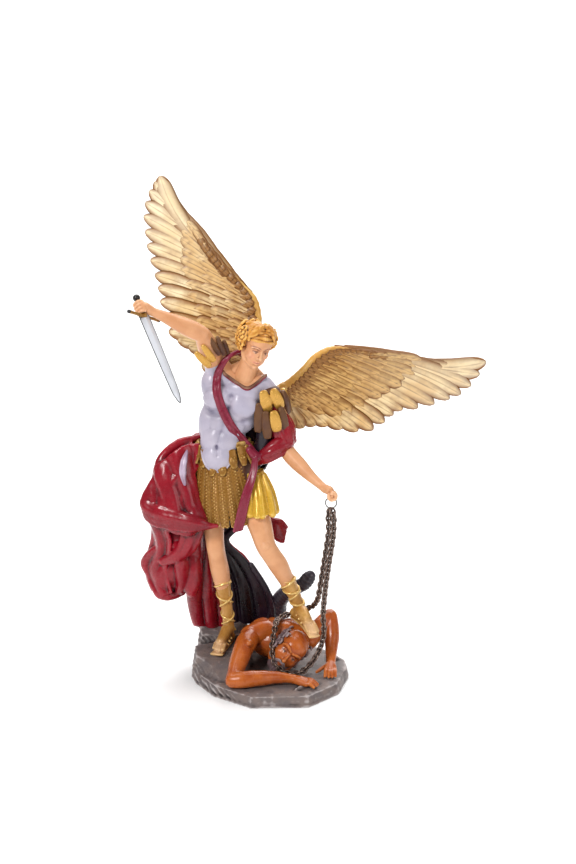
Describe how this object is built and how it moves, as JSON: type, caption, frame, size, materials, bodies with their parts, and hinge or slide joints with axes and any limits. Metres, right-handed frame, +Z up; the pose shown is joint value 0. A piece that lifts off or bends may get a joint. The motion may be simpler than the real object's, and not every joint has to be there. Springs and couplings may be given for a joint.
{
  "type": "archangel michael statue",
  "caption": "Painted cast statue of a winged, armoured angel in a blown cloak, sword raised, standing on a chained, prone demon on a rock base.",
  "frame": {"origin": "centre of the rock base's flat underside", "axes": "+Z up out of the base, -Y towards the statue's front, +X towards the angel's own left"},
  "size_m": [0.254, 0.1164, 0.3587],
  "materials": {
    "painted_resin": "gloss paint on cast resin",
    "painted_feathers": "satin paint on cast resin",
    "sword_metal": "polished",
    "chain_metal": "dark bronze",
    "ring_metal": "bright"
  },
  "bodies": {
    "root": {"figure": "painted_resin", "wing_right": "painted_feathers", "wing_left": "painted_feathers", "sword": "sword_metal", "chain": "chain_metal", "hand_ring": "ring_metal"}
  },
  "joints": []
}
